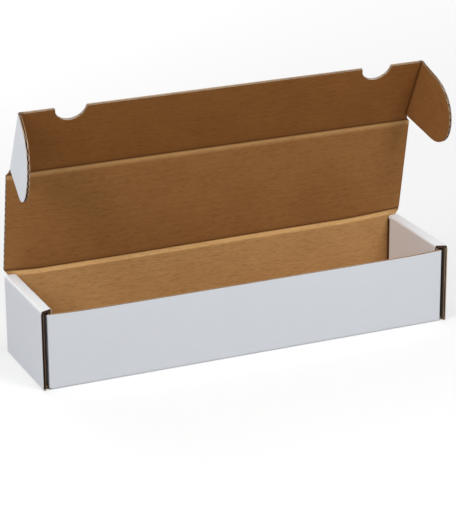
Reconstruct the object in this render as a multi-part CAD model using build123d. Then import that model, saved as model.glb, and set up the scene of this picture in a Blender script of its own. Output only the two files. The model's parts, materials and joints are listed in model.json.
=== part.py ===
"""Card storage box: one die-cut blank of corrugated board, folded up into a long tray with
rolled-over double ends, and a lid on the back wall whose front flap and two ears tuck in."""
import os
from math import asin, atan2, cos, hypot, radians, sin, sqrt, tan

from build123d import *

# The box. The origin is the middle of the base, +X runs along the length, +Y to the hinged back, +Z up
box_length = 404.0  # over the outer end panels
box_depth = 101.6  # over the front and back walls
end_height = 75.6  # base to the top of the rolled-over ends
front_drop = 4.2  # cut top edge of the front wall, below the tops of the ends

# The board: two flat liners with a wavy medium glued between them, flutes along the blank's length
board = 2.6
liner = 0.3
medium = 0.3
flute_pitch = 6.1
flute_foot_share = 0.43  # half width of a flute at its foot, of the pitch
flute_shoulder_shares = (0.16, 0.78)  # a flute's shoulder: half width of the pitch, height of the depth
flute_margin = 3.4  # between the first flute's middle and an edge that runs beside it
crush_length = 7.0  # flutes are crushed shut this far from a fold that crosses them

# Folds that stay put
fold_radius = 1.6  # outside of a fold at the base and at the wall ends
mitre_angle = 45.0  # degrees
roll_radius = 3.2  # outside of the two folds over the top of an end

# Folds that work as hinges: a round bead on one panel's edge in a hollow seat on the next panel's edge
bead_radius = 0.8
bead_clearance = 0.3
crease_half_angle = 43.0  # degrees; both edges taper to the fold, so that it closes to a right angle

# Clearances between panels
ear_clearance = 0.3  # each side of an ear in its slot
layer_gap = 0.2  # between a corner flap and the inner panel over it
lid_clearance = 0.8  # closed lid over the rolled-over ends
flap_clearance = 0.4  # closed flap in front of the front wall
edge_clearance = 0.4  # cut edges beside another panel

# The ends: outer panel, slot for an ear, corner flaps, inner panel
end_back_gap = 0.3  # end panels stop this far in front of the back wall
inner_setback = 4.2  # inner panel's upright edges, behind the outside of the front and back walls
corner_flap_length = 36.0
corner_flap_taper = 2.0  # how much a corner flap narrows at the top and bottom of its free edge
corner_flap_drop = 1.0  # top of a corner flap below the top of its fold
relief_length = 3.6  # nick in the base at the foot of each ear slot
tab_width = 22.0
tab_spacing = 48.0  # between the middles of the two tabs under an inner panel
tab_corner = 0.8
tab_clearance = 0.25  # each side of a tab in its slot
tab_lift = 0.3  # tab's end above the outside of the base

# The shoulders, where the back wall widens to the lid's length across the crease
shoulder_inset = 1.8  # at the crease, from the lid's side
shoulder_drop = 5.6  # where a shoulder starts, below the crease
shoulder_rise = 2.4  # where it ends on the lid, above the crease

# The lid and its front flap
lid_lean = 10.5  # degrees that the open lid leans forward from upright
lid_corner = 2.6  # length that is cut off a lid corner, along the lid's side
flap_height = 71.0  # crease to free edge
flap_fold = 15.5  # degrees that the flap is folded from the plane of the open lid
notch_radius = 15.9
notch_spacing = 300.5  # between the middles of the two thumb notches
notch_rise = 1.5  # notch's centre above the free edge

# The ears on the flap's ends
ear_fold = 82.0  # degrees that an ear is folded from the plane of the flap
ear_reach = 62.0
ear_start = 5.4  # crease to the ear's straight edge, along the fold
ear_big_radius = 38.0
ear_small_radius = 22.0

overrun = 5.0  # how far a cutting shape passes the face that it cuts

# Places that follow from the sizes above
end_x = box_length / 2
face_y = box_depth / 2
front_height = end_height - front_drop
slot_width = board + ear_clearance + ear_clearance
wall_x = end_x - board - slot_width
inner_x = wall_x - board - layer_gap - board
ear_x = end_x - board - slot_width / 2
end_back_y = face_y - board - end_back_gap
inner_y = face_y - inner_setback
roll_foot_z = end_height - roll_radius
crease_y = face_y - board / 2
crease_z = end_height + lid_clearance + board / 2
shoulder_z = crease_z - shoulder_drop
shoulder_x = end_x - shoulder_inset
lid_reach = box_depth + flap_clearance
crease_run = board / 2 / tan(radians(crease_half_angle))
notch_depth = notch_radius - notch_rise
core = board - liner - liner
flute_depth = core - medium


def polygon(*points):
    """A flat face with these corners, in order."""
    return make_face(Polyline(*points, close=True))


def rectangle(left, right, low, high):
    """A flat rectangle between these limits."""
    return polygon((left, low), (right, low), (right, high), (left, high))


def both_sides(side):
    """A flat face with these corners on the right, from the bottom up, and the same on the left."""
    return polygon(*side, *[(-across, up) for across, up in reversed(side)])


def upright(outline, y_from, y_to):
    """An outline drawn in X and Z, made solid from y_from to y_to."""
    return Pos(0, y_to, 0) * extrude(Plane.XZ * outline, amount=y_to - y_from)


def endways(outline, x_from, x_to):
    """An outline drawn in Y and Z, made solid from x_from to x_to."""
    return Pos(x_from, 0, 0) * extrude(Plane.YZ * outline, amount=x_to - x_from)


def level(outline, z_from, z_to):
    """An outline drawn in X and Y, made solid from z_from to z_to."""
    return Pos(0, 0, z_from) * extrude(outline, amount=z_to - z_from)


# The board, its edges and its flutes


def board_section(start, end):
    """A board cut across: its thickness sideways, and its run from start to end upwards."""
    return rectangle(-board / 2, board / 2, start, end)


def crease_tapers(at, run):
    """The two corners that a crushed crease takes off a section which ends at this height."""
    return [polygon((side * board / 2, at), (0, at), (side * board / 2, at + run)) for side in (-1, 1)]


def seat_start(section):
    """Hollows the start of a section, at zero, to turn about a bead there."""
    return section - crease_tapers(0, crease_run) - Circle(bead_radius + bead_clearance)


def bead_end(section, at, side):
    """Tapers one end of a section to a bead; side is 1 at its end and -1 at its start."""
    return section - crease_tapers(at, -side * crease_run) + Pos(0, at) * Circle(bead_radius)


def lying(section):
    """Turns a section so that its run lies along X."""
    return Rot(Z=-90) * section


def flute(row, x_from, x_to, side):
    """One open flute along X, at this height of a board that stands in the XZ plane."""
    foot = flute_foot_share * flute_pitch
    shoulder = flute_shoulder_shares[0] * flute_pitch
    foot_y = side * core / 2
    shoulder_y = foot_y - side * flute_shoulder_shares[1] * flute_depth
    crown_y = foot_y - side * flute_depth
    low = (shoulder_y, row - shoulder)
    high = (shoulder_y, row + shoulder)
    flanks = Polyline(low, (foot_y, row - foot), (foot_y, row + foot), high)
    crown = ThreePointArc(high, (crown_y, row), low)
    return endways(make_face(flanks + crown), x_from, x_to)


def flutes(x_from, x_to, z_from, z_to):
    """The flutes of a board in the XZ plane: a row each half pitch, against its two liners in turn."""
    step = flute_pitch / 2
    count = int((z_to - z_from - flute_margin - flute_margin) // step) + 1
    first = (z_from + z_to - (count - 1) * step) / 2
    return [flute(first + n * step, x_from, x_to, 1 if n % 2 else -1) for n in range(count)]


# The folds that stay put: two boards meet in a mitre, and the outside of the fold is round


def fold_middle(half):
    """Where the rounded outside of a fold at this half width crosses its mitre."""
    inset = fold_radius - fold_radius * cos(radians(mitre_angle))
    return (half - inset, inset)


def between_folds(half):
    """A board cut across between two folds: outside face at zero, mitred at both edges."""
    edge = half - fold_radius
    left_middle = (-fold_middle(half)[0], fold_middle(half)[1])
    outline = Line((-edge, 0), (edge, 0))
    outline += TangentArc((edge, 0), fold_middle(half), tangent=(1, 0))
    outline += Polyline(fold_middle(half), (half - board, board), (board - half, board), left_middle)
    outline += TangentArc((-edge, 0), left_middle, tangent=(-1, 0))
    return make_face(outline)


def beyond_fold(half, height):
    """A board cut across that turns up from such a fold: outside face at half, mitred below."""
    inside = half - board
    foot = (half, fold_radius)
    outline = Polyline(foot, (half, height), (inside, height), (inside, board), fold_middle(half))
    outline += TangentArc(foot, fold_middle(half), tangent=(0, -1))
    return make_face(outline)


# The tray, which stays put once it is folded and locked


def make_bottom():
    """The base: mitred to the walls and ends, nicked at the ear slots and slit for the four tabs."""
    base = endways(between_folds(face_y), -end_x, end_x) & upright(between_folds(end_x), -face_y, face_y)
    nick = rectangle(wall_x, end_x - board, face_y - relief_length, face_y + overrun)
    slit_from = inner_x - tab_clearance
    slit_to = inner_x + board + tab_clearance
    slit_half = tab_width / 2 + tab_clearance
    slit_y = tab_spacing / 2
    slit = rectangle(slit_from, slit_to, slit_y - slit_half, slit_y + slit_half)
    cuts = []
    for cut in (nick, slit):
        pair = [cut, mirror(cut, about=Plane.YZ)]
        pair += [mirror(one, about=Plane.XZ) for one in pair]
        cuts += [level(one, -overrun, board + overrun) for one in pair]
    return base - cuts


def make_long_wall(height):
    """A long wall at the back, mitred to the base below it and to a corner flap at each end."""
    plan = Pos(0, face_y) * mirror(between_folds(wall_x), about=Plane.XZ)
    return endways(beyond_fold(face_y, height), -wall_x, wall_x) & level(plan, 0, height)


def make_back_wall():
    """The back wall: the same board, with shoulders and the bead of the lid's crease at its top."""
    wall = make_long_wall(shoulder_z)
    section = bead_end(board_section(shoulder_z, crease_z), crease_z, 1)
    top_z = crease_z + bead_radius
    side = [(wall_x, shoulder_z), (shoulder_x, crease_z), (shoulder_x, top_z)]
    shoulders = upright(both_sides(side), face_y - board, face_y)
    return wall + (endways(Pos(crease_y, 0) * section, -shoulder_x, shoulder_x) & shoulders)


def make_corner_flap(fold_top):
    """The right front corner flap: it is folded back from the front wall and tapers to its free edge."""
    low = board + edge_clearance
    high = fold_top - corner_flap_drop
    free_y = corner_flap_length - face_y
    free_low = low + corner_flap_taper
    free_high = high - corner_flap_taper
    outline = polygon((-face_y, low), (free_y, free_low), (free_y, free_high), (-face_y, high))
    plan = Pos(0, -face_y) * beyond_fold(wall_x, corner_flap_length)
    flap = endways(outline, wall_x - board, wall_x) & level(plan, low, high)
    turn = Pos(wall_x - board / 2, 0, 0) * Rot(Z=90)
    rows = flutes(crush_length - face_y, free_y + overrun, free_low, free_high)
    return flap - [turn * row for row in rows]


def make_end_outer():
    """The right outer end panel, folded up from the base."""
    return upright(beyond_fold(end_x, roll_foot_z), -face_y, end_back_y)


def make_end_rollover():
    """The strip over the top of the right end: two rounded folds, and ends cut back to the inner panel."""
    outside = rectangle(inner_x, end_x, roll_foot_z, end_height)
    outside = fillet(outside.vertices().group_by(Axis.Y)[-1], roll_radius)
    inside = rectangle(inner_x + board, end_x - board, roll_foot_z, end_height - board)
    inside = fillet(inside.vertices().group_by(Axis.Y)[-1], roll_radius - board)
    plan = polygon((end_x, -face_y), (end_x, end_back_y), (inner_x, inner_y), (inner_x, -inner_y))
    return upright(outside - inside, -face_y, end_back_y) & level(plan, roll_foot_z, end_height)


def make_end_inner():
    """The right inner end panel: it hangs from the rolled-over strip and locks in the base by two tabs."""
    outline = rectangle(-inner_y, inner_y, board, roll_foot_z)
    for side in (-1, 1):
        middle = side * tab_spacing / 2
        tab = rectangle(middle - tab_width / 2, middle + tab_width / 2, tab_lift, board)
        outline += fillet(tab.vertices().group_by(Axis.Y)[0], tab_corner)
    panel = endways(outline, inner_x, inner_x + board)
    turn = Pos(inner_x + board / 2, 0, 0) * Rot(Z=90) * Rot(Y=-90)
    rows = flutes(tab_lift - overrun, roll_foot_z - crush_length, -inner_y, inner_y)
    return panel - [turn * row for row in rows]


# The lid, its flap and the ears, each drawn standing on its own crease


def make_lid():
    """The lid panel: a seat along its back crease, a bead at the flap's crease, flutes open at the sides."""
    section = bead_end(seat_start(board_section(0, lid_reach)), lid_reach, 1)
    corner_z = lid_reach - lid_corner
    top_z = lid_reach + bead_radius
    side = [(shoulder_x, 0), (end_x, shoulder_rise), (end_x, corner_z), (ear_x, lid_reach), (ear_x, top_z)]
    outline = upright(both_sides(side), -board, board)
    rows = flutes(-end_x - overrun, end_x + overrun, crease_run, lid_reach - crease_run)
    return (endways(section, -end_x, end_x) & outline) - rows


def make_flap():
    """The lid's front flap: hinged to the lid, with a bead at each end for an ear and two thumb notches."""
    over_x = ear_x + bead_radius
    rise = endways(seat_start(board_section(0, flap_height)), -over_x, over_x)
    length = bead_end(bead_end(board_section(-ear_x, ear_x), ear_x, 1), -ear_x, -1)
    flap = rise & level(lying(length), 0, flap_height)
    notches = []
    for side in (-1, 1):
        centre = Pos(side * notch_spacing / 2, flap_height + notch_rise)
        notches.append(upright(centre * Circle(notch_radius), -board, board))
    crushed_x = ear_x - crush_length
    rows = flutes(-crushed_x, crushed_x, flap_height - notch_depth, flap_height)
    return flap - notches - rows


def make_ear():
    """The right ear, lying flat beside the flap: a straight edge, a tight curve and a wide curve."""
    middle_z = flap_height - ear_big_radius
    across = ear_reach - ear_small_radius
    up = middle_z - ear_start
    distance = hypot(across, up)
    slope = atan2(up, across) - asin(ear_small_radius / distance)
    straight = sqrt(distance**2 - ear_small_radius**2)
    start = (0, ear_start)
    turn = (straight * cos(slope), ear_start + straight * sin(slope))
    tip = (ear_reach, middle_z)
    shoulder = (ear_reach - ear_big_radius, flap_height)
    outline = Line(start, turn)
    outline += TangentArc(turn, tip, tangent=(cos(slope), sin(slope)))
    outline += TangentArc(tip, shoulder, tangent=(0, 1))
    outline += Polyline(shoulder, (0, flap_height), start)
    blank = level(lying(seat_start(board_section(0, ear_reach))), 0, flap_height)
    rows = flutes(crush_length, ear_reach + overrun, ear_start, flap_height)
    return (blank & upright(make_face(outline), -board, board)) - rows


def other_end(piece):
    """The same piece at the left end of the box."""
    return mirror(piece, about=Plane.YZ)


# Where the open lid, the flap and the ear stand
lid_place = Pos(0, crease_y, crease_z) * Rot(X=lid_lean)
flap_place = lid_place * Pos(0, 0, lid_reach) * Rot(X=flap_fold)
ear_place = flap_place * Pos(ear_x, 0, 0) * Rot(Z=-ear_fold)

parts = {
    "bottom_panel": make_bottom(),
    "front_wall": mirror(make_long_wall(front_height), about=Plane.XZ),
    "back_wall": make_back_wall(),
    "lid_panel": lid_place * make_lid(),
    "lid_front_flap": flap_place * make_flap(),
}
right_parts = {
    "end_outer": make_end_outer(),
    "end_rollover": make_end_rollover(),
    "end_inner": make_end_inner(),
    "corner_flap_front": make_corner_flap(front_height),
    "corner_flap_back": mirror(make_corner_flap(shoulder_z), about=Plane.XZ),
    "lid_ear": ear_place * make_ear(),
}
for name, piece in right_parts.items():
    parts[name + "_right"] = piece
    parts[name + "_left"] = other_end(piece)

os.makedirs("parts", exist_ok=True)
for name, piece in parts.items():
    export_step(piece, f"parts/{name}.step")
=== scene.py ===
import json
import math

import bpy
import numpy as np
from mathutils import Matrix, Vector


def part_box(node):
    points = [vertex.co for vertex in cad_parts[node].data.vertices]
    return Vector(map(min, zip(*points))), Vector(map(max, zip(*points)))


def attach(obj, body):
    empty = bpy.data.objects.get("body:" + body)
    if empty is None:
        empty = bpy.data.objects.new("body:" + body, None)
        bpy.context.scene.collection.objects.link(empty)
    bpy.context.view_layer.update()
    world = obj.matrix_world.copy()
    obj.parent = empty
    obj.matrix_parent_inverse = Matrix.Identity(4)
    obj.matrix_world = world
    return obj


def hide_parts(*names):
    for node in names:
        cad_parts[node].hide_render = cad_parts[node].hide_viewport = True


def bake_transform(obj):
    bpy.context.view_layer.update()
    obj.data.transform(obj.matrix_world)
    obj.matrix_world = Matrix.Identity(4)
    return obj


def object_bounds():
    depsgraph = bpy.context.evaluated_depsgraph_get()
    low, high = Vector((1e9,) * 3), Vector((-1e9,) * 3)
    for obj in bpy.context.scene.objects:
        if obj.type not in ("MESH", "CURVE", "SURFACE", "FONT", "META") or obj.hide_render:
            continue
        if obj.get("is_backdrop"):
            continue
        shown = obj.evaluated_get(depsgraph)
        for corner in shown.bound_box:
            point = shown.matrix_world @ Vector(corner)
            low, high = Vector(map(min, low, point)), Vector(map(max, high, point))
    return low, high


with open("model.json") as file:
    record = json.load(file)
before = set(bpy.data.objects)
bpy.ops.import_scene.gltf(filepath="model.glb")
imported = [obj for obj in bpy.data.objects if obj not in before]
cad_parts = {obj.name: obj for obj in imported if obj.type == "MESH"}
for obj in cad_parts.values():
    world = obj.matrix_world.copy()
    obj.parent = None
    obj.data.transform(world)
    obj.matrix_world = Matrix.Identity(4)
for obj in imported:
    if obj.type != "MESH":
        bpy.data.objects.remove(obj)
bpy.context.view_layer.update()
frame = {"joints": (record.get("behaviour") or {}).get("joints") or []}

# The base: a flat panel of the one-piece blank, corrugated board with a white liner outside and a brown
# kraft liner inside. It is slit for the four tabs of the inner end panels and nicked at each ear slot.
mm = 0.001
X, Y, Z = Vector((1, 0, 0)), Vector((0, 1, 0)), Vector((0, 0, 1))
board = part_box("front_wall")[1].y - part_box("front_wall")[0].y
liner = 0.3 * mm
medium = 0.4 * mm
flute_pitch = 6.1 * mm
fold_radius = 1.6 * mm
end_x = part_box("end_outer_right")[1].x
face_y = -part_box("front_wall")[0].y
wall_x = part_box("corner_flap_front_right")[1].x


def node_maker(tree):
    """Two short calls for filling a node tree: one adds a node and joins its inputs, one does sums."""

    def node(kind, *inputs, **settings):
        made = tree.nodes.new(kind)
        for name, value in settings.items():
            setattr(made, name, value)
        for name, value in inputs:
            if isinstance(value, bpy.types.NodeSocket):
                tree.links.new(value, made.inputs[name])
            else:
                made.inputs[name].default_value = value
        return made

    def sums(operation, *values):
        return node("ShaderNodeMath", *enumerate(values), operation=operation).outputs[0]

    return node, sums


def paper_group():
    """What a sheet of paper shows over its surface, laid out on the flat blank with flutes along its x."""
    cloud_scale = 22.0
    streak_stretch = (70.0, 640.0, 60.0)
    speck_stretch = (170.0, 1250.0, 300.0)
    ridge_wander = 2.4
    tree = bpy.data.node_groups.new("liner_paper", "ShaderNodeTree")
    tree.interface.new_socket("Blank", in_out="INPUT", socket_type="NodeSocketVector")
    tree.interface.new_socket("Flute pitch", in_out="INPUT", socket_type="NodeSocketFloat")
    for name in ("Clouds", "Streaks", "Specks", "Washboard"):
        tree.interface.new_socket(name, in_out="OUTPUT", socket_type="NodeSocketFloat")
    node, sums = node_maker(tree)
    given = node("NodeGroupInput").outputs
    made = node("NodeGroupOutput").inputs
    blank = given["Blank"]

    def fibres(stretch, detail, roughness):
        """Noise drawn out along the flutes."""
        drawn = node("ShaderNodeMapping", ("Vector", blank), ("Scale", stretch))
        noise = node("ShaderNodeTexNoise", ("Vector", drawn.outputs[0]), ("Scale", 1.0), ("Detail", detail))
        noise.inputs["Roughness"].default_value = roughness
        return noise.outputs["Fac"]

    clouds = node("ShaderNodeTexNoise", ("Vector", blank), ("Scale", cloud_scale), ("Detail", 4.0))
    streaks = fibres(streak_stretch, 5.0, 0.65)
    specks = fibres(speck_stretch, 2.0, 0.5)
    dark_specks = node("ShaderNodeMapRange", ("Value", specks), ("From Min", 0.5), ("From Max", 0.75))
    wander = sums("MULTIPLY", clouds.outputs["Fac"], ridge_wander)
    across = node("ShaderNodeSeparateXYZ", ("Vector", blank)).outputs["Y"]
    turns = sums("DIVIDE", across, given["Flute pitch"])
    ridge = sums("SINE", sums("ADD", sums("MULTIPLY", turns, 2 * math.pi), wander))
    tree.links.new(clouds.outputs["Fac"], made["Clouds"])
    tree.links.new(streaks, made["Streaks"])
    tree.links.new(dark_specks.outputs["Result"], made["Specks"])
    tree.links.new(sums("MULTIPLY_ADD", ridge, 0.5, 0.5), made["Washboard"])
    return tree


liner_paper = paper_group()
plain = (1, 1, 1, 1)
# The kraft liner darkens towards this brown by its deep attribute, as painted shade; below zero that lightens
# it as a painted highlight.
brown = (0.5, 0.36, 0.22, 1)
# Cut edges darken towards this by their dim attribute, as painted shade.
painted_edge_shade = (0.13, 0.09, 0.08, 1)
# The hollows between the liners darken towards this by their hollow attribute, as painted shade.
painted_hollow_shade = (0.06, 0.05, 0.045, 1)


def paper_material(name, light, dark, tint, deepest, specks, ridges, relief, roughness):
    """A paper: its tone drifts between two colours along the flutes, with fibres, faint ridges where the
    flutes lie under it, bumped and with a little painted shade, a line of painted shade in a crease, and
    painted shade towards its deepest colour where its tint attribute says so, with a painted highlight where
    that tint is below zero."""
    streak_share, cloud_share, tone_start = 0.8, 0.6, -0.2
    crease_share = 0.97
    speck_and_shade_tint = (0.37, 0.26, 0.14)
    streak_relief = 0.1
    bump_depth = 0.4 * mm
    material = bpy.data.materials.new(name)
    material.use_nodes = True
    links = material.node_tree.links
    node, sums = node_maker(material.node_tree)
    shader = material.node_tree.nodes["Principled BSDF"]
    blank = node("ShaderNodeAttribute", attribute_name="blank").outputs["Vector"]
    crease = node("ShaderNodeAttribute", attribute_name="crease").outputs["Fac"]
    deep = node("ShaderNodeAttribute", attribute_name=tint).outputs["Fac"]
    sheet = node("ShaderNodeGroup", ("Blank", blank), ("Flute pitch", flute_pitch), node_tree=liner_paper)
    paper = sheet.outputs

    def blended(share, first, second, clamp=True):
        mix = node("ShaderNodeMix", ("Factor", share), ("A", first), ("B", second), data_type="RGBA")
        mix.clamp_factor = clamp
        return mix.outputs["Result"]

    drift = sums("MULTIPLY_ADD", paper["Clouds"], cloud_share, tone_start)
    tone = sums("MULTIPLY_ADD", paper["Streaks"], streak_share, drift)
    # The washboard ridges also shift the colour a little, as painted shade beside their bump.
    tone = sums("MULTIPLY_ADD", paper["Washboard"], ridges, sums("SUBTRACT", tone, ridges / 2))
    ground = blended(tone, dark, light)
    fleck = sums("MULTIPLY", paper["Specks"], specks)
    # The crease attribute paints shade in this darker tone: a line in a crease, a shadow in a corner. The
    # dark specks of the paper take the same tone.
    specks_and_painted_shade = sums("MAXIMUM", fleck, sums("MULTIPLY", crease, crease_share))
    speck_and_shade_colour = (*(share * part for share, part in zip(speck_and_shade_tint, dark)), 1.0)
    marked = blended(specks_and_painted_shade, ground, speck_and_shade_colour)
    # The tint attribute paints shade towards the deepest colour, and a highlight where it is below zero.
    depth = blended(deep, plain, deepest, clamp=False)
    colour = node("ShaderNodeVectorMath", (0, marked), (1, depth), operation="MULTIPLY")
    streak_height = sums("MULTIPLY", paper["Streaks"], streak_relief)
    height = sums("MULTIPLY_ADD", paper["Washboard"], relief, streak_height)
    bump = node("ShaderNodeBump", ("Height", height), ("Strength", 0.5), ("Distance", bump_depth))
    links.new(colour.outputs[0], shader.inputs["Base Color"])
    links.new(bump.outputs["Normal"], shader.inputs["Normal"])
    shader.inputs["Roughness"].default_value = roughness
    shader.inputs["Specular IOR Level"].default_value = 0.25
    return material


white = paper_material(
    "white_liner",
    light=(0.785, 0.81, 0.86, 1),
    dark=(0.76, 0.783, 0.83, 1),
    tint="deep",
    deepest=plain,
    specks=0.03,
    ridges=0.02,
    relief=0.05,
    roughness=0.55,
)
kraft = paper_material(
    "kraft_liner",
    light=(0.66, 0.39, 0.16, 1),
    dark=(0.42, 0.215, 0.07, 1),
    tint="deep",
    deepest=brown,
    specks=0.4,
    ridges=0.06,
    relief=0.15,
    roughness=0.8,
)
fluting = paper_material(
    "fluting_paper",
    light=(0.6, 0.46, 0.32, 1),
    dark=(0.45, 0.33, 0.22, 1),
    tint="hollow",
    deepest=painted_hollow_shade,
    specks=0.3,
    ridges=0.0,
    relief=0.1,
    roughness=0.9,
)
cut_paper = paper_material(
    "cut_paper",
    light=(0.68, 0.49, 0.34, 1),
    dark=(0.52, 0.36, 0.23, 1),
    tint="dim",
    deepest=painted_edge_shade,
    specks=0.3,
    ridges=0.0,
    relief=0.1,
    roughness=0.9,
)


def corrugated_board():
    """Board from a flat outline: two liners and between them the wavy medium, cut to the same outline."""
    margin = 1.0 * mm
    weld = 0.001 * mm
    wave_steps = 10.0
    spare_steps = 3.0
    edge_slope = 0.3
    tree = bpy.data.node_groups.new("corrugated_board", "GeometryNodeTree")
    tree.interface.new_socket("Outline", in_out="INPUT", socket_type="NodeSocketGeometry")
    for name in ("Thickness", "Liner", "Medium", "Flute pitch", "Flute shift"):
        tree.interface.new_socket(name, in_out="INPUT", socket_type="NodeSocketFloat")
    for name in ("Top liner", "Bottom liner", "Fluting", "Cut edge"):
        tree.interface.new_socket(name, in_out="INPUT", socket_type="NodeSocketMaterial")
    tree.interface.new_socket("Board", in_out="OUTPUT", socket_type="NodeSocketGeometry")
    node, sums = node_maker(tree)
    given = node("NodeGroupInput").outputs

    def vector(**axes):
        return node("ShaderNodeCombineXYZ", *axes.items()).outputs[0]

    def parts_of(socket):
        return node("ShaderNodeSeparateXYZ", ("Vector", socket)).outputs

    def sheet(flat, thickness, lift):
        """A closed sheet grown from flat faces by this thickness and raised by lift."""
        growth, rise = vector(Z=thickness), vector(Z=lift)
        top = node("GeometryNodeExtrudeMesh", ("Mesh", flat), ("Offset", growth), ("Individual", False))
        under = node("GeometryNodeFlipFaces", ("Mesh", flat))
        both = node("GeometryNodeJoinGeometry", ("Geometry", top.outputs["Mesh"]))
        tree.links.new(under.outputs["Mesh"], both.inputs["Geometry"])
        closed = node("GeometryNodeMergeByDistance", ("Geometry", both.outputs[0]), ("Distance", weld))
        raised = node("GeometryNodeTransform", ("Geometry", closed.outputs[0]), ("Translation", rise))
        return raised.outputs[0]

    core = sums("SUBTRACT", given["Thickness"], sums("MULTIPLY", given["Liner"], 2.0))
    half_core = sums("MULTIPLY", core, 0.5)
    top = sheet(given["Outline"], given["Liner"], half_core)
    bottom = sheet(given["Outline"], given["Liner"], sums("MULTIPLY", given["Thickness"], -0.5))
    inside = sheet(given["Outline"], core, sums("MULTIPLY", half_core, -1.0))

    box = node("GeometryNodeBoundBox", ("Geometry", given["Outline"]))
    low, high = parts_of(box.outputs["Min"]), parts_of(box.outputs["Max"])
    step = sums("DIVIDE", given["Flute pitch"], wave_steps)
    steps_across = sums("DIVIDE", sums("SUBTRACT", high["Y"], low["Y"]), step)
    count = sums("CEIL", sums("ADD", steps_across, spare_steps))
    start = vector(X=sums("SUBTRACT", low["X"], margin), Y=sums("SUBTRACT", low["Y"], step))
    stride = vector(Y=step)
    line = node("GeometryNodeMeshLine", ("Count", count), ("Start Location", start), ("Offset", stride))
    across = parts_of(node("GeometryNodeInputPosition").outputs[0])["Y"]
    turns = sums("DIVIDE", sums("ADD", across, given["Flute shift"]), given["Flute pitch"])
    swing = sums("MULTIPLY", sums("SUBTRACT", core, given["Medium"]), 0.5)
    wave = sums("MULTIPLY", sums("SINE", sums("MULTIPLY", turns, 2 * math.pi)), swing)
    lowered = sums("SUBTRACT", wave, sums("MULTIPLY", given["Medium"], 0.5))
    waved = node("GeometryNodeSetPosition", ("Geometry", line.outputs[0]), ("Offset", vector(Z=lowered)))
    length = vector(X=sums("ADD", sums("SUBTRACT", high["X"], low["X"]), 2 * margin))
    ribbon = node("GeometryNodeExtrudeMesh", ("Mesh", waved.outputs[0]), ("Offset", length), mode="EDGES")
    flutes = sheet(ribbon.outputs["Mesh"], given["Medium"], 0.0)
    cut = node("GeometryNodeMeshBoolean", ("Mesh 2", inside), operation="INTERSECT", solver="EXACT")
    tree.links.new(flutes, cut.inputs["Mesh 2"])

    upright = sums("ABSOLUTE", parts_of(node("GeometryNodeInputNormal").outputs[0])["Z"])
    at_edge = sums("LESS_THAN", upright, edge_slope)
    joined = node("GeometryNodeJoinGeometry")
    for geometry, finish in ((top, "Top liner"), (bottom, "Bottom liner"), (cut.outputs["Mesh"], "Fluting")):
        painted = node("GeometryNodeSetMaterial", ("Geometry", geometry), ("Material", given[finish]))
        edged = node("GeometryNodeSetMaterial", ("Geometry", painted.outputs[0]), ("Selection", at_edge))
        tree.links.new(given["Cut edge"], edged.inputs["Material"])
        tree.links.new(edged.outputs[0], joined.inputs["Geometry"])
    real = node("GeometryNodeRealizeInstances", ("Geometry", joined.outputs[0]))
    made = node("NodeGroupOutput")
    tree.links.new(real.outputs[0], made.inputs["Board"])
    return tree


board_tree = corrugated_board()


def add_piece(name, mesh):
    """A new object at the origin for a finished mesh."""
    piece = bpy.data.objects.new(name, mesh)
    bpy.context.scene.collection.objects.link(piece)
    return piece


def mark(mesh, name, values):
    """Keeps a number or a place for each point of a mesh, for its materials."""
    values = np.asarray(values, np.float32)
    is_place = values.ndim == 2
    layer = mesh.attributes.new(name, "FLOAT_VECTOR" if is_place else "FLOAT", "POINT")
    layer.data.foreach_set("vector" if is_place else "value", values.ravel())


# The tray's kraft takes a slight painted shade; the lid side's kraft is painted darker further on.
tray_painted_shade = 0.08


def cut_board(
    name, points, faces, place, top, bottom, blank, shift=0.0, deep=tray_painted_shade, dim=0.0, hollow=1.0, shade=None
):
    """A panel of board cut to flat faces. place carries it from its own plane, with flutes along x, to the
    frame, and blank gives where that plane's x and y lie on the flat blank: two starts and two signs. shift
    moves the flutes. deep is the painted shade of its brown liner, dim the painted shade on its cut edge and
    hollow the painted shade between its liners. shade gives, at an x of the plane, a painted shade kept as a
    crease."""
    flat = bpy.data.meshes.new(name + "_outline")
    flat.from_pydata([(x, y, 0) for x, y in points], [], faces)
    piece = add_piece(name, flat)
    modifier = piece.modifiers.new("board", "NODES")
    modifier.node_group = board_tree
    makings = {"Thickness": board, "Liner": liner, "Medium": medium, "Flute pitch": flute_pitch}
    makings.update({"Flute shift": shift, "Fluting": fluting, "Cut edge": cut_paper})
    makings.update({"Top liner": top, "Bottom liner": bottom})
    for socket in board_tree.interface.items_tree:
        if socket.name in makings:
            modifier[socket.identifier] = makings[socket.name]
    made = piece.evaluated_get(bpy.context.evaluated_depsgraph_get())
    mesh = bpy.data.meshes.new_from_object(made)
    piece.modifiers.clear()
    piece.data = mesh
    mesh.name = name
    spots = np.array([v.co for v in mesh.vertices])
    if shade:
        mark(mesh, "crease", [shade(x) for x in spots[:, 0]])
    start_x, start_y, sign_x, sign_y = blank
    spots[:, 0] = start_x + sign_x * spots[:, 0]
    spots[:, 1] = start_y + sign_y * spots[:, 1]
    mark(mesh, "blank", spots)
    for tint, tone in (("deep", deep), ("dim", dim), ("hollow", hollow)):
        mark(mesh, tint, [tone] * len(mesh.vertices))
    mesh.transform(place)
    return piece


def plane(origin, x_axis, y_axis):
    """The matrix of a panel's own plane."""
    z_axis = x_axis.cross(y_axis)
    return Matrix.Translation(origin) @ Matrix((x_axis, y_axis, z_axis)).transposed().to_4x4()


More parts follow.
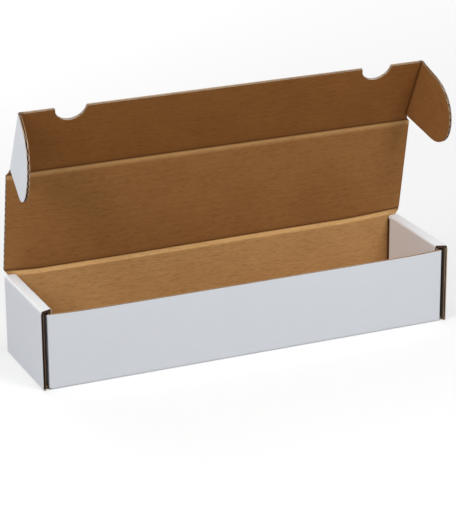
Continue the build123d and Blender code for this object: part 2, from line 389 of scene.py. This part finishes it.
slit_half = 11.25 * mm
slit_clearance = 0.25 * mm
tab_y = 24.0 * mm
nick_length = 3.6 * mm
inner_low, inner_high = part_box("end_inner_right")
slit_x = (inner_low.x - slit_clearance, inner_high.x + slit_clearance)
slit_y = (tab_y + slit_half, tab_y - slit_half)
base_x = end_x - fold_radius
base_y = face_y - fold_radius
cuts_x = sorted(s * x for s in (-1, 1) for x in (base_x, end_x - board, wall_x, *slit_x))
cuts_y = sorted(s * y for s in (-1, 1) for y in (base_y, face_y - nick_length, *slit_y))


def base_is_cut(x, y):
    """Whether this spot of the base lies in a slit for a tab or in the nick at an ear slot."""
    in_slit = slit_x[0] < abs(x) < slit_x[1] and abs(abs(y) - tab_y) < slit_half
    in_nick = wall_x < abs(x) < end_x - board and abs(y) > face_y - nick_length
    return in_slit or in_nick


base_points = [(x, y) for y in cuts_y for x in cuts_x]
base_faces = []
for row in range(len(cuts_y) - 1):
    for column in range(len(cuts_x) - 1):
        middle = (cuts_x[column] + cuts_x[column + 1]) / 2, (cuts_y[row] + cuts_y[row + 1]) / 2
        first = row * len(cuts_x) + column
        if not base_is_cut(*middle):
            base_faces.append((first, first + 1, first + 1 + len(cuts_x), first + len(cuts_x)))
base = cut_board(
    "base",
    base_points,
    base_faces,
    plane(Vector((0, 0, board / 2)), X, Y),
    top=kraft,
    bottom=white,
    blank=(0, 0, 1, 1),
)
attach(base, "tray")
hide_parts("bottom_panel")

# The front wall: a plain panel folded up from the base, of the same board with flutes along the box. Its
# top is a bare cut edge that sags a little, and its two ends fold round into the corner flaps.
sides = ((-1, "left"), (1, "right"))
front_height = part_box("front_wall")[1].z
front_end = wall_x - fold_radius
front_sag = 1.5 * mm
sag_flatness = 10
edge_steps = 40


def front_edge(share):
    """A point of the front wall's top edge, which sags a little all along between its two corners."""
    return share * front_end, front_height - front_sag * (1 - share**sag_flatness)


front_points = [(-front_end, fold_radius), (front_end, fold_radius)]
front_points += [front_edge(1 - 2 * k / edge_steps) for k in range(edge_steps + 1)]
# Its top cut edge takes a little painted shade, and its flute hollows less painted shade than most boards.
front_wall = cut_board(
    "front_wall_board",
    front_points,
    [tuple(range(len(front_points)))],
    plane(Vector((0, -face_y + board / 2, 0)), X, Z),
    top=white,
    bottom=kraft,
    blank=(0, -face_y, 1, -1),
    shift=2.2 * mm,
    dim=0.3,
    hollow=0.3,
)
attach(front_wall, "tray")
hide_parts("front_wall")


def soften(mesh):
    """Smooth shading over the bends of a mesh, with its corners kept sharp."""
    corner = math.radians(38)
    mesh.shade_smooth()
    mesh.set_sharp_from_angle(angle=corner)


def round_fold(name, start, end, normal_from, normal_to, blank):
    """The rounded outside of a fold that stays put: a quarter round between two panels, its curve white."""
    turns = 8
    # Painted shade on the fold's cut ends.
    cap_shade = 0.6
    rows = []
    for k in range(turns + 1):
        angle = math.pi / 2 * k / turns
        rows.append(fold_radius * (math.cos(angle) * normal_from + math.sin(angle) * normal_to))
    rings = [[spine] + [spine + row for row in rows] for spine in (start, end)]
    count = len(rings[0])
    points = rings[0] + rings[1]
    faces = [(k, (k + 1) % count, count + (k + 1) % count, count + k) for k in range(count)]
    caps = [tuple(range(count))[::-1], tuple(range(count, 2 * count))]
    mesh = bpy.data.meshes.new(name)
    mesh.from_pydata(points, [], faces + caps)
    if (end - start).dot(normal_from.cross(normal_to)) < 0:
        mesh.flip_normals()
    for finish in (white, cut_paper):
        mesh.materials.append(finish)
    for face in mesh.polygons:
        face.material_index = 0 if 0 < face.index < count - 1 else 1
    soften(mesh)
    along = (end - start).normalized()
    flat = []
    for ring in rings:
        for k, point in enumerate(ring):
            flat.append((blank[0] + (point - start).dot(along), blank[1] + fold_radius * k, 0))
    mark(mesh, "blank", flat)
    mark(mesh, "dim", [cap_shade] * len(points))
    return add_piece(name, mesh)


def wall_folds(name, facing, top):
    """A long wall's folds: along the base, and upright at its two ends. facing is -1 in front, 1 behind."""
    out = facing * Y
    spine_y = facing * (face_y - fold_radius)
    reach = wall_x - fold_radius
    foot = Vector((0, spine_y, fold_radius))
    left, right = foot - reach * X, foot + reach * X
    folds = [round_fold(f"{name}_base_fold", left, right, -Z, out, (-reach, facing * base_y))]
    for side, word in sides:
        low = Vector((side * reach, spine_y, fold_radius))
        high = Vector((side * reach, spine_y, top))
        blank = (side * wall_x, facing * face_y)
        folds.append(round_fold(f"{name}_{word}_fold", low, high, out, side * X, blank))
    for fold in folds:
        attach(fold, "tray")


wall_folds("front_wall", -1, front_height)

# The corner flaps: four short panels folded from the ends of the long walls, tapered to a free edge. They
# stand in the double ends between the outer and the inner panel, and part the ear slots from the inside.
corner_flap_length = 36.0 * mm
corner_flap_taper = 2.0 * mm
corner_flap_root = face_y - fold_radius
corner_flap_tip = face_y - corner_flap_length
for side, word in sides:
    for facing, wall in ((-1, "front"), (1, "back")):
        panel = f"corner_flap_{wall}_{word}"
        low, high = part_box(panel)
        tip_low, tip_high = low.z + corner_flap_taper, high.z - corner_flap_taper
        outline = [(corner_flap_tip, tip_low), (corner_flap_root, low.z)]
        outline += [(corner_flap_root, high.z), (corner_flap_tip, tip_high)]
        flap = cut_board(
            f"{panel}_board",
            [(facing * y, z) for y, z in outline],
            [(0, 1, 2, 3) if facing > 0 else (3, 2, 1, 0)],
            plane(Vector((side * (wall_x - board / 2), 0, 0)), Y, Z),
            top=white if side > 0 else kraft,
            bottom=kraft if side > 0 else white,
            blank=(side * wall_x, facing * face_y, 1, facing),
        )
        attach(flap, "tray")
        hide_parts(panel)

# The outer end panels: folded up from the base, with upright flutes. Their front edges are bare cut board,
# and an ear slides into the slot behind each of them.
end_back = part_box("end_outer_right")[1].y
roll_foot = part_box("end_rollover_right")[0].z
# Painted shade: the left end's front cut edge is darkened as lying in shade, and each end's inner liner takes
# the fluting paper, darkened as the shade in its slot.
end_edge_shade = {"left": 0.85, "right": 0.05}
end_slot_shade = {"left": 1.0, "right": 0.85}
for side, word in sides:
    panel = cut_board(
        f"end_outer_{word}_board",
        [(fold_radius, -face_y), (roll_foot, -face_y), (roll_foot, end_back), (fold_radius, end_back)],
        [(0, 1, 2, 3)],
        plane(Vector((side * (end_x - board / 2), 0, 0)), Z, Y),
        top=fluting if side > 0 else white,
        bottom=white if side > 0 else fluting,
        blank=(side * end_x, 0, side, 1),
        shift=0.6 * mm,
        dim=end_edge_shade[word],
        hollow=end_slot_shade[word],
    )
    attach(panel, "tray")
    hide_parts(f"end_outer_{word}")
    spine = Vector((side * (end_x - fold_radius), 0, fold_radius))
    fold_front, fold_back = spine - face_y * Y, spine + end_back * Y
    fold = round_fold(f"end_{word}_base_fold", fold_front, fold_back, -Z, side * X, (-face_y, side * base_x))
    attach(fold, "tray")

# The roll-overs: the strip that carries the blank over the top of each end in two rounded folds, and down
# into the inner panel. Its white face is a lighter copy of the white liner, as painted light, and its front
# and back ends are cut back slantwise and show the layers of the board, with painted shade on them.
roll_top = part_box("end_rollover_right")[1].z
roll_bend = 2.0 * mm
sharpest_share = 0.1
# Painted shade on the strip's fluting and brown layers, which show at its cut ends.
roll_end_shade = 1.0
inner_x = inner_low.x
inner_y = inner_high.y
core_recess = 0.7 * mm
# A lighter copy of the white liner, as painted light on the roll-overs and inner end panels.
painted_light_white = paper_material(
    "painted_light_white_liner",
    light=(0.87, 0.885, 0.91, 1),
    dark=(0.845, 0.86, 0.885, 1),
    tint="deep",
    deepest=plain,
    specks=0.03,
    ridges=0.02,
    relief=0.05,
    roughness=0.55,
)


def roll_outline(depth):
    """The strip seen from the front at this depth under its white face: up, over the top and down. The folds
    are pressed, so the white face turns on a small radius and the brown one on hardly any."""
    turns = 8
    radius = max(roll_bend - depth, sharpest_share * roll_bend)
    centre_z = roll_top - depth - radius
    points = [(end_x - depth, roll_foot)]
    for centre, first in ((end_x - depth - radius, 0.0), (inner_x + depth + radius, math.pi / 2)):
        for k in range(turns + 1):
            angle = first + math.pi / 2 * k / turns
            points.append((centre + radius * math.cos(angle), centre_z + radius * math.sin(angle)))
    return points + [(inner_x + depth, roll_foot)]


def roll_layer(name, side, outer, inner, recess, finish):
    """One layer of the strip, between two depths under its white face."""
    outlines = (roll_outline(outer), roll_outline(inner))
    count = len(outlines[0])
    slant = (face_y - inner_y) / (end_x - inner_x)
    back_slant = (end_back - inner_y) / (end_x - inner_x)
    points = []
    for outline in outlines:
        for end in (-1, 1):
            for x, z in outline:
                inset = (end_x - x) * (slant if end < 0 else back_slant)
                y = -face_y + inset + recess if end < 0 else end_back - inset - recess
                points.append((side * x, y, z))
    faces = []
    for k in range(count - 1):
        a, b, c, d = k, k + count, k + 2 * count, k + 3 * count
        faces += [(a, b, b + 1, a + 1), (c, c + 1, d + 1, d), (a, a + 1, c + 1, c), (b, d, d + 1, b + 1)]
    faces += [(0, 2 * count, 3 * count, count), (count - 1, 2 * count - 1, 4 * count - 1, 3 * count - 1)]
    mesh = bpy.data.meshes.new(name)
    mesh.from_pydata(points, [], faces)
    if side > 0:
        mesh.flip_normals()
    mesh.materials.append(finish)
    soften(mesh)
    run = [0.0]
    for (x0, z0), (x1, z1) in zip(outlines[0], outlines[0][1:]):
        run.append(run[-1] + math.hypot(x1 - x0, z1 - z0))
    flat = [(side * (end_x + roll_foot + run[i % count]), points[i][1], 0) for i in range(len(points))]
    mark(mesh, "blank", flat)
    for tint in ("deep", "dim"):
        mark(mesh, tint, [roll_end_shade] * len(points))
    piece = add_piece(name, mesh)
    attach(piece, "tray")
    return piece


for side, word in sides:
    strip = roll_layer(f"end_rollover_{word}_white", side, 0.0, liner, 0.0, painted_light_white)
    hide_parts(f"end_rollover_{word}")
    roll_layer(f"end_rollover_{word}_fluting", side, liner, board - liner, core_recess, cut_paper)
    roll_layer(f"end_rollover_{word}_kraft", side, board - liner, board, 0.0, cut_paper)

# The inner end panels: they hang from the roll-overs with the white face to the inside of the box, and
# lock the ends by two tabs each in the slits of the base.
tab_foot = inner_low.z
tab_half = 11.0 * mm
tab_round = 0.8 * mm
back_gap = 2.2 * mm
inner_back = inner_y - back_gap
for side, word in sides:
    outline = [(roll_foot, -inner_y), (roll_foot, inner_back), (board, inner_back)]
    for middle in (tab_y, -tab_y):
        outline += [(board, middle + tab_half), (tab_foot + tab_round, middle + tab_half)]
        outline += [(tab_foot, middle + tab_half - tab_round), (tab_foot, middle - tab_half + tab_round)]
        outline += [(tab_foot + tab_round, middle - tab_half), (board, middle - tab_half)]
    outline += [(board, -inner_y)]
    # Their white face is the lighter copy of the white liner, as painted light.
    panel = cut_board(
        f"end_inner_{word}_board",
        outline,
        [tuple(range(len(outline)))],
        plane(Vector((side * (inner_x + board / 2), 0, 0)), Z, Y),
        top=painted_light_white if side > 0 else kraft,
        bottom=kraft if side > 0 else painted_light_white,
        blank=(side * (end_x + 2 * roll_top), 0, -side, 1),
        shift=1.4 * mm,
    )
    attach(panel, "tray")
    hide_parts(f"end_inner_{word}")

# The back wall: folded up from the base like the front wall, but taller, because the lid hangs on it. Near
# the top its ends slope out over the shoulders to the lid's length.
joints = {joint["name"]: joint for joint in frame["joints"]}
lid_hinge = Vector(joints["lid_hinge"]["pos_m"])
crease_half = 5.3 * mm
shoulder_drop = 5.6 * mm
shoulder_rise = 2.4 * mm
shoulder_inset = 1.8 * mm
wall_top = lid_hinge.z - crease_half
shoulder_z = lid_hinge.z - shoulder_drop
shade_start = inner_x - 0.7 * mm
shade_full = inner_x + 0.3 * mm


def shoulder_width(rise):
    """Half the length of the board at this height over the lid's crease: wall, slope, then lid."""
    heights = (-shoulder_drop, 0.0, shoulder_rise)
    widths = (wall_x, end_x - shoulder_inset, end_x)
    return float(np.interp(rise, heights, widths))


def corner_shade(x):
    """How dark the back wall is at this x: a shadow starts close before the gap at an inner end panel."""
    return float(np.interp(abs(x), (shade_start, shade_full), (0.0, 1.0)))


back_points, back_faces = [], []
for side in (-1, 1):
    back_points += [(side * x, z) for x in (shade_start, shade_full) for z in (fold_radius, wall_top)]
    outer = [(wall_x - fold_radius, fold_radius), (wall_x - fold_radius, shoulder_z), (wall_x, shoulder_z)]
    outer.append((shoulder_width(-crease_half), wall_top))
    back_points += [(side * x, z) for x, z in outer]
for first, turn in ((0, -1), (8, 1)):
    back_faces.append(tuple(first + k for k in (0, 2, 3, 1))[::turn])
    back_faces.append(tuple(first + k for k in (2, 4, 5, 6, 7, 3))[::turn])
back_faces.append((0, 8, 9, 1))
back_wall = cut_board(
    "back_wall_board",
    back_points,
    back_faces,
    plane(Vector((0, face_y - board / 2, 0)), X, Z),
    top=kraft,
    bottom=white,
    blank=(0, face_y, 1, 1),
    shade=corner_shade,
)
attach(back_wall, "tray")
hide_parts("back_wall")
wall_folds("back_wall", 1, shoulder_z)

# The lid: a large plain panel that hangs on the back wall by a scored crease. The crease is crushed board,
# pressed into a groove with a painted shade line on the brown side and a painted highlight under it, and
# turns from the back wall's plane to the lid's.
flap_hinge = Vector(joints["flap_hinge"]["pos_m"])
lid_up = (flap_hinge - lid_hinge).normalized()
lid_reach = (flap_hinge - lid_hinge).length
flap_low = 8.2 * mm
back_blank = face_y + lid_hinge.z


def crease_strip(name, hinge, along, up_from, up_to, span, ends, line_at, score, blank, deep):
    """A scored crease between two panels, at rest: rows run along the fold, and turn from one panel's plane
    to the other's close to it. span is how far they go over the two panels. ends gives where a row starts and
    stops, and line_at, at a place along the fold, how high the painted shade line of the brown side runs and
    how much of the band's painted tone the strip under it shows.
    score holds the line's half width, the band that slopes down to it with its groove's depth and curve, and
    how far the band's painted tone takes to rise. deep is the painted shade of the first panel, the band and
    the second panel; below zero it is a painted highlight."""
    rows, columns = 48, 40
    bend_half = 1.4 * mm
    # The white side's pressed groove takes a faint line of painted shade.
    press_half, press_depth, press_dark = 0.9 * mm, 0.3 * mm, 0.1
    lip_half = 0.3 * mm
    # Above the brown side's line, painted shade trails off up the panel.
    trail_share = 0.45
    # Painted shade on the strip's cut edges.
    strip_edge_shade = 0.75
    tone_lead, tone_hold, tone_end = 1.2 * mm, -0.9 * mm, 0.7 * mm
    tone_start = -score["band"] - tone_lead
    tone_steps = (tone_start, tone_start + score["rise"], tone_hold, tone_end)
    out = along.cross(up_from)
    turn = math.atan2(up_to.dot(out), up_to.dot(up_from))

    def brown_side(over):
        """How much painted shade, and how deep a groove, as shares, the brown side has at this height over
        its line.
        """
        line = math.exp(-((over / score["line"]) ** 2))
        if over > 0:
            trail = trail_share * math.exp(-over / (2 * score["line"]))
            return max(line, trail), math.exp(-over / lip_half)
        return line, max(1 + over / score["band"], 0.0) ** score["curve"]

    points, spots, lines, painted_shades_and_highlights = [], [], [], []
    for face in (1, -1):
        for k in range(rows + 1):
            reach = span[0] + (span[1] - span[0]) * k / rows
            share = min(max((reach + bend_half) / (2 * bend_half), 0.0), 1.0)
            lean = turn * share * share * (3 - 2 * share)
            up = math.cos(lean) * up_from + math.sin(lean) * out
            thick = math.cos(lean) * out - math.sin(lean) * up_from
            press = math.exp(-((reach / press_half) ** 2))
            first, last = ends(reach)
            for c in range(columns + 1):
                edge = first + (last - first) * c / columns
                height, tone = line_at(edge)
                line, sink = brown_side(reach - height)
                depth = board / 2 - (score["groove"] * sink if face > 0 else press_depth * press)
                points.append(hinge + edge * along + reach * up + face * depth * thick)
                spots.append((blank[0] + edge, blank[1] + reach, 0))
                lines.append(line if face > 0 else press_dark * press)
                # The brown side's painted shade runs from the first panel's through the band's to the second
                # panel's; under the lid's and the flap's lines the band is a painted highlight.
                strip = deep[0] + tone * (deep[1] - deep[0])
                painted_shades_and_highlights.append(float(np.interp(reach - height, tone_steps, (deep[0], strip, strip, deep[2]))))
    width = columns + 1
    under = width * (rows + 1)
    brown_face, white_face, cut_face = 0, 1, 2
    faces, finishes = [], []
    for k in range(rows):
        for c in range(columns):
            a = k * width + c
            b = under + a
            faces += [(a, a + 1, a + 1 + width, a + width), (b, b + width, b + 1 + width, b + 1)]
            finishes += [brown_face, white_face]
        a, z = k * width, k * width + columns
        faces += [(a, a + width, under + a + width, under + a), (z, under + z, under + z + width, z + width)]
        finishes += [cut_face, cut_face]
    for c in range(columns):
        a, z = c, rows * width + c
        faces += [(a, under + a, under + a + 1, a + 1), (z, z + 1, under + z + 1, under + z)]
        finishes += [cut_face, cut_face]
    mesh = bpy.data.meshes.new(name)
    mesh.from_pydata(points, [], faces)
    for finish in (kraft, white, cut_paper):
        mesh.materials.append(finish)
    mesh.polygons.foreach_set("material_index", finishes)
    soften(mesh)
    mark(mesh, "blank", spots)
    mark(mesh, "crease", lines)
    mark(mesh, "deep", painted_shades_and_highlights)
    mark(mesh, "dim", [strip_edge_shade] * len(points))
    return add_piece(name, mesh)


lid_score = {"line": 1.1 * mm, "band": 5.0 * mm, "groove": 0.9 * mm, "curve": 1.0, "rise": 1.8 * mm}
# The band under the hinge's line is painted lighter, as a highlight.
lid_band_highlight = -0.75
# The lid's kraft is painted darker than the tray's, as shade.
lid_painted_shade = 0.84


def lid_line(x):
    """How high over the hinge the lid's painted shade line runs, and how much painted highlight the band
    under
    it has: the line wanders along the box and turns up at its ends, where the highlight fades and turns to
    painted shade."""
    places = (-202, -190, -172, -83, -20, 42, 147, 179, 202)
    heights = (2.6, 1.4, -0.3, -0.2, 0.3, 0.9, 1.2, 2.9, 4.6)
    fade_places, fade_tones = (188, 196, 202), (1.0, 0.0, -0.7)
    tone = np.interp(abs(x) / mm, fade_places, fade_tones)
    return float(np.interp(x / mm, places, heights)) * mm, float(tone)


lid_crease = crease_strip(
    "lid_crease",
    hinge=lid_hinge,
    along=X,
    up_from=Z,
    up_to=lid_up,
    span=(-crease_half, crease_half),
    ends=lambda reach: (-shoulder_width(reach), shoulder_width(reach)),
    line_at=lid_line,
    score=lid_score,
    blank=(0, back_blank),
    deep=(tray_painted_shade, lid_band_highlight, lid_painted_shade),
)
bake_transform(lid_crease)

lid_low, lid_high = crease_half, lid_reach - flap_low
# The lid's cut edges take painted shade.
lid = cut_board(
    "lid_board",
    [(-end_x, lid_low), (end_x, lid_low), (end_x, lid_high), (-end_x, lid_high)],
    [(0, 1, 2, 3)],
    plane(lid_hinge, X, lid_up),
    top=kraft,
    bottom=white,
    blank=(0, back_blank, 1, 1),
    deep=lid_painted_shade,
    dim=0.5,
)
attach(lid, "lid")
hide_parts("lid_panel")

# The front flap: hinged to the lid by a second crease. It closes in front of the front wall, and two
# half-round notches in its free edge take a thumb each.
flap_up = Vector(joints["ear_left_hinge"]["axis"])
flap_height = 71.0 * mm
flap_blank = back_blank + lid_reach
lid_corner = 2.6 * mm
notch_radius = 15.0 * mm
notch_x = 150.25 * mm
notch_rise = 0.6 * mm
ear_x = joints["ear_right_hinge"]["pos_m"][0]
ear_start = 5.4 * mm
ear_half = 4.0 * mm
ear_foot = 1.8 * mm
flap_line = -1.2 * mm
flap_score = {"line": 1.5 * mm, "band": 5.5 * mm, "groove": 0.7 * mm, "curve": 1.8, "rise": 5.6 * mm}
# The band under the flap's crease is painted a little lighter than the lid, as a highlight.
flap_band_highlight = -0.1
# The flap's kraft is painted darker still, as shade.
flap_painted_shade = 1.04


def flap_crease_width(reach):
    """Half the length of the flap's crease: the lid's, then the cut corner, then in to the foot of an ear."""
    return float(np.interp(reach, (-lid_corner, 0.0, crease_half), (end_x, ear_x + ear_foot, ear_x)))


flap_crease = crease_strip(
    "flap_crease",
    hinge=flap_hinge,
    along=X,
    up_from=lid_up,
    up_to=flap_up,
    span=(-flap_low, crease_half),
    ends=lambda reach: (-flap_crease_width(reach), flap_crease_width(reach)),
    line_at=lambda x: (flap_line, 1.0),
    score=flap_score,
    blank=(0, flap_blank),
    deep=(lid_painted_shade, flap_band_highlight, flap_painted_shade),
)
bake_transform(flap_crease)


def notch_arc(middle):
    """The edge of one thumb notch, from right to left."""
    turns = 24
    centre = flap_height + notch_rise
    opening = math.asin(notch_rise / notch_radius)
    points = []
    for k in range(turns + 1):
        angle = -opening - (math.pi - 2 * opening) * k / turns
        points.append((middle + notch_radius * math.cos(angle), centre + notch_radius * math.sin(angle)))
    return points


flap_edge = ear_x - ear_half
flap_points = [(-ear_x, crease_half), (ear_x, crease_half), (ear_x, ear_start), (flap_edge, ear_start)]
flap_points += [(flap_edge, flap_height), *notch_arc(notch_x), *notch_arc(-notch_x)]
flap_points += [(-flap_edge, flap_height), (-flap_edge, ear_start), (-ear_x, ear_start)]
# Its cut edges take a little painted shade, and its flute hollows less painted shade than most boards.
flap = cut_board(
    "front_flap_board",
    flap_points,
    [tuple(range(len(flap_points)))],
    plane(flap_hinge, X, flap_up),
    top=kraft,
    bottom=white,
    blank=(0, flap_blank, 1, 1),
    deep=flap_painted_shade,
    dim=0.1,
    hollow=0.4,
)
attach(flap, "lid_flap")
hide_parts("lid_front_flap")

# The ears: two round-shouldered tongues at the ends of the front flap, each on a crease of its own. They
# tuck into the slots beside the front corners and hold the box shut.
ear_fold = math.radians(82.0)
# The ears' kraft is painted darker than the tray's, as shade.
ear_painted_shade = 0.92
ear_reach = 62.0 * mm
ear_big = 38.0 * mm
ear_small = 22.0 * mm
ear_score = {"line": 2.0 * mm, "band": 1.5 * mm, "groove": 0.6 * mm, "curve": 1.0, "rise": 1.5 * mm}


def ear_outline():
    """The right ear laid flat beside the flap, from its crease: straight edge, tight curve, wide curve. With
    it comes the slope of the straight edge."""
    turns = 14
    middle = flap_height - ear_big
    across, up = ear_reach - ear_small, middle - ear_start
    slope = math.atan2(up, across) - math.asin(ear_small / math.hypot(across, up))
    points = [(ear_half, ear_start + ear_half * math.tan(slope))]
    for k in range(turns + 1):
        angle = slope - math.pi / 2 + (math.pi / 2 - slope) * k / turns
        points.append((across + ear_small * math.cos(angle), middle + ear_small * math.sin(angle)))
    for k in range(1, turns + 1):
        angle = math.pi / 2 * k / turns
        points.append((ear_reach - ear_big + ear_big * math.cos(angle), middle + ear_big * math.sin(angle)))
    return points + [(ear_half, flap_height)], slope


ear_points, ear_slope = ear_outline()


def ear_crease_ends(reach):
    """Where a row of the ear's crease starts and stops along the flap's height."""
    return ear_start + max(reach, 0.0) * math.tan(ear_slope), flap_height


for side, word in sides:
    hinge = Vector(joints[f"ear_{word}_hinge"]["pos_m"])
    out = X.cross(flap_up)
    ear_along = math.cos(ear_fold) * side * X + math.sin(ear_fold) * out
    crease = crease_strip(
        f"ear_crease_{word}",
        hinge=hinge,
        along=-side * flap_up,
        up_from=side * X,
        up_to=ear_along,
        span=(-ear_half, ear_half),
        ends=lambda reach: sorted(-side * height for height in ear_crease_ends(reach)),
        line_at=lambda height: (0.0, 1.0),
        score=ear_score,
        blank=(side * ear_x, flap_blank),
        deep=(flap_painted_shade, flap_painted_shade, ear_painted_shade),
    )
    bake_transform(crease)
    points = [(side * x, y) for x, y in ear_points]
    ear = cut_board(
        f"ear_{word}_board",
        points,
        [tuple(range(len(points)))[::side]],
        plane(hinge, side * ear_along, flap_up),
        top=kraft,
        bottom=white,
        blank=(side * ear_x, flap_blank, 1, 1),
        deep=ear_painted_shade,
    )
    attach(ear, f"ear_{word}")
    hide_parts(f"lid_ear_{word}")

# The studio: a pale floor under the box in an even white surround, a key lamp in front on the left, a large
# soft lamp overhead, a small one in front on the right, and a wide one low behind the box on the left.
floor_half = 6.0
floor_near, glow_near = 0.4, 0.42
floor_far, glow_far = 3.0, 0.95
floor_mesh = bpy.data.meshes.new("floor")
floor_corners = [(x * floor_half, y * floor_half, 0) for x, y in ((-1, -1), (1, -1), (1, 1), (-1, 1))]
floor_mesh.from_pydata(floor_corners, [], [(0, 1, 2, 3)])
floor_material = bpy.data.materials.new("pale_floor")
floor_material.use_nodes = True
node, sums = node_maker(floor_material.node_tree)


def background_rays(node, sums):
    """1 where a ray only shows the background, to the camera or in gloss or glass, and 0 where it lights."""
    rays = node("ShaderNodeLightPath").outputs
    seen = sums("MAXIMUM", rays["Is Camera Ray"], rays["Is Glossy Ray"])
    return sums("MAXIMUM", seen, rays["Is Transmission Ray"])


matte = floor_material.node_tree.nodes["Principled BSDF"]
matte.inputs["Base Color"].default_value = (0.38, 0.38, 0.38, 1)
matte.inputs["Roughness"].default_value = 0.9
matte.inputs["Specular IOR Level"].default_value = 0.1
pale = node("ShaderNodeBsdfDiffuse", ("Color", (0.55, 0.55, 0.55, 1)))
spot = node("ShaderNodeTexCoord").outputs["Object"]
away = node("ShaderNodeVectorMath", (0, spot), operation="LENGTH").outputs["Value"]
lift = node("ShaderNodeMapRange", ("Value", away), ("From Min", floor_near), ("From Max", floor_far))
lift.inputs["To Min"].default_value = glow_near
lift.inputs["To Max"].default_value = glow_far
glow = node("ShaderNodeEmission", ("Strength", lift.outputs["Result"]))
lifted = node("ShaderNodeAddShader", (0, pale.outputs[0]), (1, glow.outputs[0]))
shown = background_rays(node, sums)
choice = node("ShaderNodeMixShader", (0, shown), (1, matte.outputs[0]), (2, lifted.outputs[0]))
floor_output = floor_material.node_tree.nodes["Material Output"]
floor_material.node_tree.links.new(choice.outputs[0], floor_output.inputs["Surface"])
floor_mesh.materials.append(floor_material)
floor = add_piece("floor", floor_mesh)
floor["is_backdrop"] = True

world = bpy.data.worlds.new("surround")
bpy.context.scene.world = world
world.use_nodes = True
node, sums = node_maker(world.node_tree)
backdrop = node("ShaderNodeBackground", ("Color", plain), ("Strength", 1.0))
fill = node("ShaderNodeBackground", ("Color", plain), ("Strength", 0.36))
shown = background_rays(node, sums)
choice = node("ShaderNodeMixShader", (0, shown), (1, fill.outputs[0]), (2, backdrop.outputs[0]))
world.node_tree.links.new(choice.outputs[0], world.node_tree.nodes["World Output"].inputs["Surface"])

lamp_aim = Vector((0, 0, 0.1))
lamps = (
    ("key_lamp", (-1.6, -0.75, 1.35), 0.7, 17.3),
    ("overhead_lamp", (0.0, -0.25, 2.0), 1.2, 8.2),
    ("side_lamp", (0.4, -0.95, 0.8), 0.4, 5.7),
    ("back_lamp", (-0.45, 1.8, 0.6), 0.9, 9.0),
)
for name, stand, width, power in lamps:
    lamp_data = bpy.data.lights.new(name, "AREA")
    lamp_data.size = width
    lamp_data.energy = power
    lamp = bpy.data.objects.new(name, lamp_data)
    bpy.context.scene.collection.objects.link(lamp)
    lamp.location = stand
    lamp.visible_camera = False
    lamp.rotation_mode = "QUATERNION"
    lamp.rotation_quaternion = (lamp_aim - lamp.location).to_track_quat("-Z", "Y")

# The camera: at the photograph's viewing angle, about two metres in front of the box, to its left and above
# it, turned a little about its own line of sight. The focal length is in pixels of the photograph.
photo_height = 528
focal_pixels = 2300
camera_stand = Vector((-0.8040, -1.8220, 0.8198))
sight = Vector((0.3775, 0.8565, -0.3519)).normalized()
roll = math.radians(-0.34)
camera_data = bpy.data.cameras.new("camera")
camera_data.lens = focal_pixels * camera_data.sensor_width / photo_height
camera_data.clip_end = 50.0
camera = bpy.data.objects.new("camera", camera_data)
bpy.context.scene.collection.objects.link(camera)
level = sight.cross(Z).normalized()
upward = level.cross(sight)
camera_right = math.cos(roll) * level + math.sin(roll) * upward
camera_up = math.cos(roll) * upward - math.sin(roll) * level
camera_turn = Matrix((camera_right, camera_up, -sight)).transposed().to_4x4()
camera.matrix_world = Matrix.Translation(camera_stand) @ camera_turn
bpy.context.scene.camera = camera
bpy.context.scene.view_settings.view_transform = "Standard"

low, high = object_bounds()
